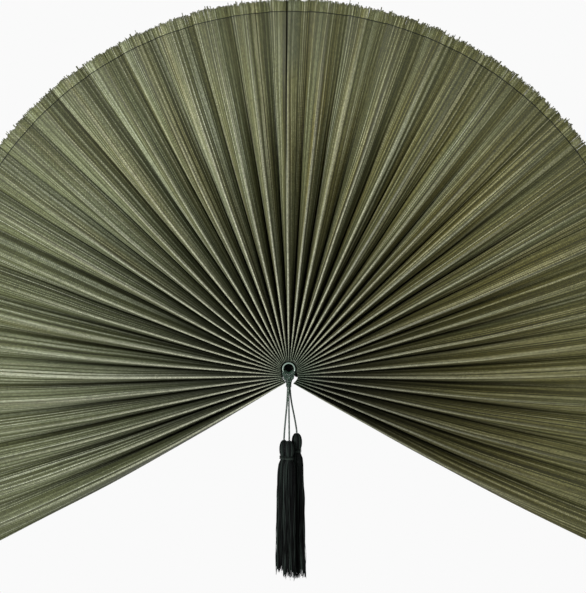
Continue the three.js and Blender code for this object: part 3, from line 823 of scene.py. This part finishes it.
# %% Finish: woven dyed palm, streaks
SPLINT, CROSS_THREAD = 1.1, 2.6  # millimetres across one splint, and between cross threads
FRINGE = 12.0  # loose ends past the stitching
SEAM_FROM, SEAM_OFFSET, SEAM_WIDE, SEAM_DEEP = 190.0, -1.7, 1.6, 3.0
WANDER, DRIFT_WIDE, DRIFT_LONG = 4.0, 30, 170  # splints wander by a millimetre or two on their way out
RUN_APART, RUN_LONG = 3.7, 75  # each splint has its own run of tones
BUNCH_WIDE, BUNCH_LONG = 7, 220  # neighbours were dyed in one bunch

dyed_palm, mat = new_finish("palm_splints_dyed_woven")
flat = mat.sheet_in_mm()
across, along, _ = mat.parts(flat)
drift = mat.noise(mat.stretched(flat, DRIFT_WIDE, DRIFT_LONG), detail=1.0)
count = mat.times(mat.times(drift, WANDER, across), 1 / SPLINT)
splint, within = mat.calc("FLOOR", count), mat.calc("FRACT", count)
own = mat.add("ShaderNodeTexWhiteNoise", "Value", {"W": splint}, noise_dimensions="1D")
run_place = {0: mat.times(splint, RUN_APART), 1: mat.times(along, 1 / RUN_LONG)}
run = mat.noise(mat.add("ShaderNodeCombineXYZ", 0, run_place))
bunch = mat.noise(mat.stretched(flat, BUNCH_WIDE, BUNCH_LONG))
tone = mat.times(bunch, 0.22, mat.times(run, 0.45, mat.times(own, 0.72, -0.16)))
print("splints", SPLINT, "mm, cross threads every", CROSS_THREAD, "mm")

# %% Finish: woven dyed palm, dye and painted shade
PALM_TONES = [(0.12, "#2b2b17"), (0.34, "#474a2c"), (0.52, "#62654a"), (0.7, "#7d8167"), (0.92, "#abac98")]
HALF_MAT, OUTER_PLEATS = 700, (300, 650)  # millimetres of flat mat from the middle
HUB_SHADE_SPAN, OUTER_SHADE_SPAN = (-345, -190), (-330, -40)
HUE_WIDE, HUE_LONG = 14, 260

# the left half is greyer and greener, the right half browner, with broad uneven patches
halves = mat.span(across, -HALF_MAT, HALF_MAT, -0.3, 0.3)
hue = mat.noise(mat.stretched(flat, HUE_WIDE, HUE_LONG))
brown = mat.span(mat.calc("ADD", hue, halves), 0.3, 0.7)
brown = mat.times(brown, mat.span(tone, 0.55, 0.95, 1.0, 0.5))
cast = mat.mix(brown, "#fafffa", "#dccd8c")
colour = mat.mix(1.0, mat.ramp(tone, PALM_TONES), cast, blend_type="MULTIPLY")
# painted shade: the deep folds near the hub are painted darker
painted_shade_hub_outer = mat.span(along, *HUB_SHADE_SPAN, 0.55, 0.0)
# painted shade: the outer pleats, the outside of the shut fan, are painted darker further out
outer = mat.span(mat.calc("ABSOLUTE", across), *OUTER_PLEATS, 0.0, 0.46)
painted_shade_hub_outer = mat.calc("MULTIPLY_ADD", outer, mat.span(along, *OUTER_SHADE_SPAN, 1.0, 0.2), painted_shade_hub_outer, use_clamp=True)
print("tones:", len(PALM_TONES))

# %% [markdown]
# ## Wear and painted light on the mat
# Fingers rub the ridges pale, most near the hub, and the crests are also painted paler as a highlight, most
# on the left, where the light comes from. The valleys are painted dark as shade. The back of the mat has
# ridges of its own, where the face has valleys. Two mats meet at a seam beside the middle ridge. Towards the
# stitching the streaks are duller, and the loose fringe past it is paler with dark cut ends. Flanks that face
# the light from the left are painted lighter and those that face away darker.

# %% Finish: woven dyed palm, ridges and valleys
RUBBED_AND_LIT, VALLEY_SHADE_FADES = (-330, -60), (-210, -40)
CREST_RUB_AND_HIGHLIGHT = (0.3, 2.4)  # millimetres from the fold
VALLEY_SHADE_EDGE, VALLEY_SHADE_FULL = PANEL_WIDTH - 2.2, PANEL_WIDTH - 0.3

pleat_share = mat.times(across, 1 / (2 * PANEL_WIDTH))
off_ridge = mat.calc("SUBTRACT", pleat_share, mat.calc("ROUND", pleat_share))
flank = mat.times(off_ridge, 2.0)  # -1 in the left valley, 1 in the right one
off_ridge = mat.times(mat.calc("ABSOLUTE", off_ridge), 2 * PANEL_WIDTH)
# seen from behind, the valleys of the face are the ridges
_, backward, _ = mat.parts(mat.add("ShaderNodeNewGeometry", "Normal"))
behind = mat.calc("GREATER_THAN", backward, 0.0)
off_ridge = mat.calc("ABSOLUTE", mat.times(behind, -PANEL_WIDTH, off_ridge))
# the ridges are rubbed pale near the hub and painted paler still as a highlight, most on the left, where the
# light comes from
rub_and_painted_highlight = mat.times(mat.span(off_ridge, *CREST_RUB_AND_HIGHLIGHT, 1.0, 0.0), mat.span(along, *RUBBED_AND_LIT, 0.58, 0.1))
rub_and_painted_highlight = mat.times(rub_and_painted_highlight, mat.times(outer, -0.7, mat.times(halves, -1.0, 1.24)))
# painted shade: the valleys are painted near black, wider on the outer pleats and fading towards the rim
painted_valley_shade = mat.span(off_ridge, mat.times(outer, -7.0, VALLEY_SHADE_EDGE), mat.times(outer, -3.5, VALLEY_SHADE_FULL))
painted_valley_shade = mat.times(painted_valley_shade, mat.span(along, *VALLEY_SHADE_FADES, 0.97, 0.3))
print("dust from", round(VALLEY_SHADE_EDGE, 1), "mm off the ridge")

# %% Finish: woven dyed palm, hub, seam and rim
GATHERED, PATCHED, SLIT_OPENS = (-362, -335), (-82, -55), (-200, -120)
DULLED, CUT = (-130, -FRINGE), (-4, 0.5)
PATCH_EDGE, SLIT_EDGE = (9.5, 12.0), (0.75, 1.1)  # millimetres across the mat

# the gathered end is painted darker and greener, as shade by the eyelet
gathered = mat.span(along, *GATHERED, 0.65, 0.0)
# one patch beside the seam took a blue-grey dye
patch = mat.times(mat.span(across, *PATCH_EDGE, 1.0, 0.0), mat.span(along, *PATCHED, 0.0, 0.5))
patch = mat.times(patch, mat.calc("GREATER_THAN", across, SEAM_OFFSET))
# the seam where the two mats meet is a slit in the middle, open at the rim, painted near black as shade
off_seam = mat.calc("ABSOLUTE", mat.calc("SUBTRACT", across, SEAM_OFFSET))
painted_seam_shade = mat.times(mat.span(off_seam, *SLIT_EDGE, 1.0, 0.0), mat.span(along, *SLIT_OPENS))
dull = mat.span(along, *DULLED, 0.0, 0.4)
cut = mat.times(mat.span(along, *CUT, 0.0, 0.9), own)
print("seam", SEAM_OFFSET, "mm off the middle ridge")

# %% Finish: woven dyed palm, gaps, weave and shine
GAP = (0.34, 0.5)  # share of a splint's width from its middle
SHADED, LOOSENED = (-90, -FRINGE), (-FRINGE - 0.3, -FRINGE + 0.3)
FACING, LOW_LEFT = (-250, -30), (-620, -450)  # millimetres across the mat

gap = mat.span(mat.calc("ABSOLUTE", mat.calc("SUBTRACT", within, 0.5)), *GAP, 0.0, 0.5)
# mixed in order: painted shade near the hub and on the outer pleats, rubbed crests with a painted highlight,
# painted shade in the valleys, painted darker green at the hub, a blue-grey patch, painted shade in the seam,
# a duller rim, dark cut ends and dark gaps between splints
layers = [(painted_shade_hub_outer, "#1e2113"), (rub_and_painted_highlight, "#b4b69f"), (painted_valley_shade, "#0a0b06"), (gathered, "#34503f"), (patch, "#50584d")]
layers += [(painted_seam_shade, "#060804"), (dull, "#4e522a"), (cut, "#33362a"), (gap, "#26240f")]
for share, tint in layers:
    colour = mat.mix(share, colour, tint)
# cross threads pass over one splint and under the next
over = mat.calc("SINE", mat.times(splint, math.pi, mat.times(along, 2 * math.pi / CROSS_THREAD)))
row = mat.calc("FLOOR", mat.times(along, 2 / CROSS_THREAD))
crossing = mat.add("ShaderNodeCombineXYZ", 0, {0: splint, 1: row})
speck = mat.add("ShaderNodeTexWhiteNoise", "Value", {"Vector": crossing}, noise_dimensions="2D")
pale = mat.times(mat.span(over, -1.0, 1.0, 0.68, 1.22), mat.span(speck, 0.0, 1.0, 0.7, 1.3))
# painted light and shade: on the left, flanks that face the light are painted lighter, the others darker
painted_flank_light = mat.times(mat.span(across, *FACING, -0.3, 0.0), mat.span(across, *LOW_LEFT))
pale = mat.times(pale, mat.times(painted_flank_light, flank, 1.0))
pale = mat.times(pale, mat.span(along, *SHADED, 1.0, 0.78))
pale = mat.times(pale, mat.span(along, *LOOSENED, 1.0, 1.5))
mat.shader({
    "Base Color": mat.scaled(colour, pale),
    # a dry splint has a faint shine of its own, and the painted valley shade takes it away
    "Roughness": mat.span(own, 0.0, 1.0, 0.52, 0.72),
    "Specular IOR Level": mat.span(painted_valley_shade, 0.0, 1.0, 0.35, 0.0),
    "Normal": mat.bump(mat.times(over, 0.3, mat.times(gap, -2.0, 1.0)), 0.7, 0.25),
})
print("finish:", dyed_palm.name)

# %% [markdown]
# ## One pleat
# A pleat is two panels of the mat that meet in a soft crease. The dry mat springs, so each panel bows
# forwards and the valleys are sharp. The width of a panel never changes, so the slopes of its two ends follow
# from the pitch: the section below is an arc in the ridge, a long shallow arc along the flank and a tight arc
# in the valley.

# %% Section across a panel
RIDGE_FOLD, VALLEY_FOLD = 1.05, 0.45  # millimetres, the radii of the creases in dry palm
RIDGE_SHARE, VALLEY_SHARE = 0.32, 0.2  # their most, as shares of a narrow panel
BOW, DRAWN_OUT = math.radians(12), 0.985
ARC_SHARES, FLANK_SHARES = np.array((0, 0.25, 0.5, 0.75)), np.linspace(0, 1, 8)


def fold_radii(wide):
    return min(RIDGE_FOLD, RIDGE_SHARE * wide), min(VALLEY_FOLD, VALLEY_SHARE * wide)


def flank_slopes(wide):
    """The slopes of a bowed panel at its ridge and at its valley, so that its fixed width fits the pitch."""
    (at_ridge, at_valley), low, high = fold_radii(wide), 0.0, math.pi / 2
    wide = min(wide, DRAWN_OUT * PANEL_WIDTH)
    for _ in range(40):
        slope = (low + high) / 2
        bow = max(min(BOW, 0.6 * slope, 0.5 * (math.pi / 2 - slope)), 1e-4)
        first, last = slope - bow, slope + bow
        flank = PANEL_WIDTH - at_ridge * first - at_valley * last
        reach = at_ridge * math.sin(first) + at_valley * math.sin(last)
        reach += flank * (math.sin(last) - math.sin(first)) / (last - first)
        low, high = (slope, high) if reach > wide else (low, slope)
    return first, last


def arc_ends(wide):
    """Where the arcs of a panel meet, in millimetres of mat from its ridge, and its tilt at each."""
    (at_ridge, at_valley), (first, last) = fold_radii(wide), flank_slopes(wide)
    ends = (0.0, at_ridge * first, PANEL_WIDTH - at_valley * last, PANEL_WIDTH)
    return np.array(ends), np.array((0.0, first, last, 0.0))


def panel(wide, developed):
    """Across a panel, for places in millimetres from its ridge: step across, share of depth, and tilt."""
    ends, tilts = arc_ends(wide)
    bend = np.diff(tilts) / np.diff(ends)
    runs = np.insert(np.cumsum(np.diff(np.sin(tilts)) / bend), 0, 0)
    drops = np.insert(np.cumsum(-np.diff(np.cos(tilts)) / bend), 0, 0)
    arc = np.searchsorted(ends[1:-1], developed)
    tilt = np.interp(developed, ends, tilts)
    across = runs[arc] + (np.sin(tilt) - np.sin(tilts[arc])) / bend[arc]
    deep = drops[arc] + (np.cos(tilts[arc]) - np.cos(tilt)) / bend[arc]
    return across * wide / runs[-1], deep / drops[-1], tilt


def panel_samples(wide):
    """Places across a panel, close together in its creases."""
    _, ridge_end, valley_start, _ = arc_ends(wide)[0]
    flank = ridge_end + (valley_start - ridge_end) * FLANK_SHARES
    in_valley = PANEL_WIDTH - (PANEL_WIDTH - valley_start) * ARC_SHARES[::-1]
    return np.concatenate([ridge_end * ARC_SHARES, flank, in_valley])


print("slopes at the rim", [round(math.degrees(slope)) for slope in flank_slopes(19.0)], "degrees")

# %% [markdown]
# ## Folds made by hand
# Hand folds wander, so each fold line sways by a fraction of a millimetre. Ridges lean to the left and down,
# and the lowest pleats sag under their own weight. Neighbours share the same valley, so the mat stays whole.
# The rim, drawn out the most, springs flatter than an even fold would.

# %% Where the folds lie
LEAN_LEFT, SAG = 0.075, 0.2  # shares of a pleat's width
SAG_FROM, HUB_SAG, BELLY, RIGHT_RISE = 1.0, 2.2, 5.0, 6.5
SWAY_STARTS, SWAY_FULL = 30, 150
LEAN_EASE = (200, RIM_RADIUS), (1.0, 0.25)
RIM_EASE = (190, 300, RIM_RADIUS), (1.0, 0.58, 0.3)
SEAM_RUN = 60


def fold_sway(fold, distance):
    """How far a hand-made fold strays sideways, in millimetres: nothing at the hub, most half way out."""
    seed = random.Random(fold * 7 + 1000)
    free = np.clip((distance - SWAY_STARTS) / (SWAY_FULL - SWAY_STARTS), 0, 1)
    waves = [(seed.uniform(0.06, 0.2), seed.uniform(110, 300), seed.uniform(0, 6.3)) for _ in range(3)]
    return free * sum(size * np.sin(2 * np.pi * distance / length + start) for size, length, start in waves)


def ridge_lean(fold, distance):
    """How far a ridge leans off the middle of its pleat, in millimetres: to the left, and down."""
    if fold % 2:
        return 0.0
    direction = fold_direction(fold)
    pleat_width = 2 * HALF_PITCH * (distance + STACK_PER_RADIAN)
    drawn = np.interp(distance, *LEAN_EASE)
    return drawn * pleat_width * (SAG * math.sin(direction) - LEAN_LEFT * math.cos(direction))


def weight_sag(fold, distance):
    """How far a low pleat hangs below a straight line, in millimetres; the right edge is propped up."""
    direction = fold_direction(fold)
    heavy = np.clip((abs(direction) - SAG_FROM) / (math.radians(FREE_EDGE) - SAG_FROM), 0, 1) ** 1.5
    share = distance / RIM_RADIUS
    drop = HUB_SAG + BELLY * np.sin(np.pi * share) - RIGHT_RISE * share * (direction > 0)
    return math.copysign(heavy, direction) * drop


def fold_stray(fold, distance):
    """How far a fold lies beside its straight line, in millimetres."""
    return fold_sway(fold, distance) + ridge_lean(fold, distance) + weight_sag(fold, distance)


def panel_steps(number, distance):
    """The ridge of a pleat, without depth, and the steps from it to its left and right valleys."""
    folds = [2 * number + step for step in (0, -1, 1)]
    lines = [beside_fold(fold_direction(fold), distance, fold_stray(fold, distance)) for fold in folds]
    return lines[0], [valley - lines[0] for valley in lines[1:]]


def seam_dip(number, developed, distance):
    """The seam between the two mats: a groove just left of the middle ridge that closes towards the hub."""
    if number:
        return 0.0
    open_share = np.clip((distance - SEAM_FROM) / SEAM_RUN, 0, 1)
    return SEAM_DEEP * open_share * np.clip(1.5 - 3 * np.abs(developed - SEAM_OFFSET) / SEAM_WIDE, 0, 1)


def pleat_points(number, distance, developed, behind=0.0):
    """Points across a pleat at a distance out, for places of mat left (minus) and right of its ridge."""
    ridge, steps = panel_steps(number, distance)
    depth = float(pleat_depth(distance) * np.interp(distance, *RIM_EASE))
    points = np.empty((len(developed), 3))
    for step, chosen in zip(steps, (developed < 0, developed >= 0)):
        wide = float(np.linalg.norm(step))
        across, deep, tilt = panel(wide, np.abs(developed[chosen]))
        points[chosen] = ridge + np.outer(across - behind * np.sin(tilt), step / wide)
        points[chosen, 1] = depth * (deep - 0.5) + behind * np.cos(tilt)
    points[:, 1] += seam_dip(number, developed, distance)
    return points


print("the lowest ridge strays", round(float(fold_stray(-2 * PLEATS_PER_SIDE, 200.0)), 1), "mm half way out")

# %% [markdown]
# ## Sheet and crest
# The front skin of a pleat runs from valley to ridge to valley, and its back skin follows it one sheet
# thickness behind. The mat on top of the ridge is a strip of its own, a hair proud of the sheet: it is the
# part of a pleat that a shut fan still shows.

# %% Pleat sheets and ridge crests
SHEET, STATIONS = 0.3, 26
GROOVE_STEPS = SEAM_WIDE / 6 * np.array((-3.1, -2, -1, 0, 1, 2, 3.1))
CREST_HALF, CREST_PROUD, CREST_THICK = 1.04, 0.04, 0.1
CREST_STEPS = np.linspace(0.0, 1.0, 6)
MAT_STEPS = np.linspace(0.0, PANEL_WIDTH, 80)


def mat_places(number, developed, out):
    """Places on the flat mat for a line across a pleat and back again."""
    place = columns(2 * number * PANEL_WIDTH + developed, out)
    return np.vstack([place, place[::-1]])


def sheet_ring(number, distance, widths):
    developed = np.concatenate([-panel_samples(widths[0])[:0:-1], panel_samples(widths[1])])
    if number == 0:
        developed = np.sort(np.concatenate([developed, SEAM_OFFSET + GROOVE_STEPS]))
    thin = min(SHEET, 0.6 * fold_radii(min(widths))[0])
    face, back = (pleat_points(number, distance, developed, behind) for behind in (0.0, thin))
    return developed, face, back


def crest_ring(number, distance, widths):
    reach = [float(np.interp(CREST_HALF, panel(wide, MAT_STEPS)[0], MAT_STEPS)) for wide in widths]
    developed = np.concatenate([-reach[0] * CREST_STEPS[:0:-1], reach[1] * CREST_STEPS])
    line = pleat_points(number, distance, developed)
    return developed, line - (0, CREST_PROUD, 0), line + (0, CREST_THICK, 0)


def along_pleat(skin, number, ring):
    """Joins rings from the gathered end of a pleat to just past its stitching."""
    direction = ridge_direction(number)
    end = rim(direction)
    rows = []
    for distance in np.linspace(leaf_start(direction), end - FRINGE + 1.0, STATIONS):
        widths = [float(np.linalg.norm(step)) for step in panel_steps(number, distance)[1]]
        developed, face, back = ring(number, distance, widths)
        rows.append((np.vstack([face, back[::-1]]), mat_places(number, developed, distance - end)))
    skin.loft(rows, ladder_caps=True)


print("sheet", SHEET, "mm thick, crest", 2 * CREST_HALF, "mm wide")

# %% [markdown]
# ## Fringe
# Past the stitching the cross thread ends and the splints hang loose, so the fringe is separate thin strips
# in two layers. They lift, lean and twist a little, and they were cut by hand, so their tips are uneven, in
# small tufts.

# %% Fringe of loose splints
FRINGE_LAYERS, SPLINTS_CUT = (0.0, 0.35), (0.7, 0.8, 0.9, 1.1, 1.5)
FRINGE_WAY = [(-FRINGE - 1.0, 0.0), (-FRINGE + 1.0, 0.3), (-4.0, 0.8)]  # place along, and share of freedom
LONGEST_TIP, LAST_GAP, TAPER = 5.0, 0.4, 0.05


def fringe_strips(skin, number):
    seed = random.Random(5000 + number)
    direction = ridge_direction(number)
    end, ragged = rim(direction), 1.0 + 0.5 * max(0.0, math.sin(direction))
    for layer in FRINGE_LAYERS:
        edge, tuft = -PANEL_WIDTH, 0.0
        while edge < PANEL_WIDTH - LAST_GAP:
            wide = min(seed.choice(SPLINTS_CUT), PANEL_WIDTH - edge)
            tuft = 0.5 * tuft + ragged * seed.uniform(-1.5, 1.1)
            tip = tuft + (seed.uniform(1.0, 3.0) if seed.random() < 0.1 else 0.0) + seed.uniform(-0.5, 0.5)
            lift, lean = seed.uniform(-0.5, 0.5), seed.uniform(-0.18, 0.18)
            twist = seed.uniform(-0.26, 0.26) * wide
            developed = np.array((edge, edge + wide))
            rows = []
            for out, ease in FRINGE_WAY + [(min(tip, LONGEST_TIP) - layer, 1.0)]:
                line = pleat_points(number, end + out, developed, layer)
                line[:, 1] += (lift + twist * np.array((-1, 1))) * ease
                across = line[1] - line[0]
                slide = across / np.linalg.norm(across) * lean * ease
                line = line + slide + np.outer((1, -1), across * TAPER * ease)
                ring = np.vstack([line, line[::-1] + (0, SHEET, 0)])
                rows.append((ring, mat_places(number, developed, out)))
            skin.loft(rows)
            edge += wide


print("fringe", FRINGE, "mm long in", len(FRINGE_LAYERS), "layers")

# %% [markdown]
# ## Stitching
# A dark thread runs along the mat a finger's breadth from the rim and keeps the cross threads from sliding
# off. It is a running stitch: it shows, dips through the sheet and shows again. A thin tube that rises and
# sinks along each pleat gives that, on the face and on the back.

# %% Stitch thread along a pleat
STITCH_THREAD, STITCH_LENGTH = 0.85, 2.6


def stitching(skin, number):
    end = rim(ridge_direction(number))
    developed = np.linspace(-PANEL_WIDTH, PANEL_WIDTH, 91)
    show = 0.5 + 0.5 * np.abs(np.sin(np.pi * developed / STITCH_LENGTH))
    for side in (-1, 1):
        line = pleat_points(number, end - FRINGE, developed)
        line[:, 1] += side * (0.15 + STITCH_THREAD * 0.25 * show) + SHEET / 2
        skin.loft(cord_rows(line, STITCH_THREAD * (0.75 + 0.25 * show), sides=6), finish=1)


print("stitch", STITCH_LENGTH, "mm long")

# %% [markdown]
# ## Free edges
# The two outer edges of the fan are hemmed. On the right a doubled strip of even width is sewn down in two
# rows, and on the left only a narrow lip is turned over. The hems are thin strips that lie on the face of the
# last pleats.

# %% Hems
HEMS = {PLEATS_PER_SIDE: [(8.2, 5.9), (5.5, 3.2), (2.8, 0.3)], -PLEATS_PER_SIDE: [(2.4, 0.2)]}
HEM_THICK, HEM_SUNK, HEM_BEVEL, HEM_STARTS = 0.7, 0.1, 0.4, 12.0
HEM_RISE = np.outer((HEM_SUNK, HEM_THICK, HEM_THICK, HEM_SUNK), (0, 1, 0))
HEM_APART = 60  # millimetres between hems on the flat mat, so that their streaks differ


def hem_strips(skin, number):
    direction = ridge_direction(number)
    end, sign = rim(direction), 1 if number > 0 else -1
    for order, (far, near) in enumerate(HEMS.get(number, []), start=1):
        developed = sign * (PANEL_WIDTH - np.array((far, far - HEM_BEVEL, near + HEM_BEVEL, near)))
        rows = []
        for distance in np.linspace(inner_end(direction) + HEM_STARTS, end - FRINGE + 1.0, STATIONS):
            line = pleat_points(number, distance, developed)
            ring = np.vstack([line - HEM_RISE, (line + (0, HEM_SUNK, 0))[::-1]])
            places = mat_places(number, developed + HEM_APART * order, distance - end)
            rows.append((ring[::sign], places[::sign]))
        skin.loft(rows)


print("hems:", {number: len(rows) for number, rows in HEMS.items()})

# %% [markdown]
# ## The whole leaf
# Each pleat is a leaf and its crest, two pieces on one body, because the fan shuts pleat by pleat. That body
# turns round the eyelet.

# %% Pleats
SHUT, CREST_SHUT = 0.01, 0.2


def pleat_label(number):
    return "centre" if number == 0 else f"{'l' if number < 0 else 'r'}{abs(number):02d}"


def shut_anchor(number, keep):
    """A point of the plane a pleat is squeezed against, so that its ridge ends in place in the stack."""
    stray = fold_stray(2 * number, np.linspace(0.0, RIM_RADIUS, STATIONS))
    return beside_fold(ridge_direction(number), 0.0, -keep / (1 - keep) * float(np.mean(stray)))


for number in range(-PLEATS_PER_SIDE, PLEATS_PER_SIDE + 1):
    label = pleat_label(number)
    leaf, crest = Skin(), Skin()
    along_pleat(leaf, number, sheet_ring)
    for trim in (fringe_strips, hem_strips, stitching):
        trim(leaf, number)
    along_pleat(crest, number, crest_ring)
    body = f"pleat_{label}" if number else "hub"
    for skin, name, keep in ((leaf, "leaf", SHUT), (crest, "crest", CREST_SHUT)):
        finishes = [dyed_palm, dark_thread_painted_shade] if skin is leaf else [dyed_palm]
        piece = skin.piece(f"{name}_{label}", body, finishes, "palm_mat", f"pleat_{label}", sharp_from=50)
        shut_anchor(number, keep) * MM
        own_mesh(piece)
print("pleats:", 2 * PLEATS_PER_SIDE + 1)

# %% [markdown] ## Sizes The dressed fan stays inside the packed model's box, apart from a little
# fringe.
# The dressed fan must stay inside the packed model's box, apart from a little fringe.
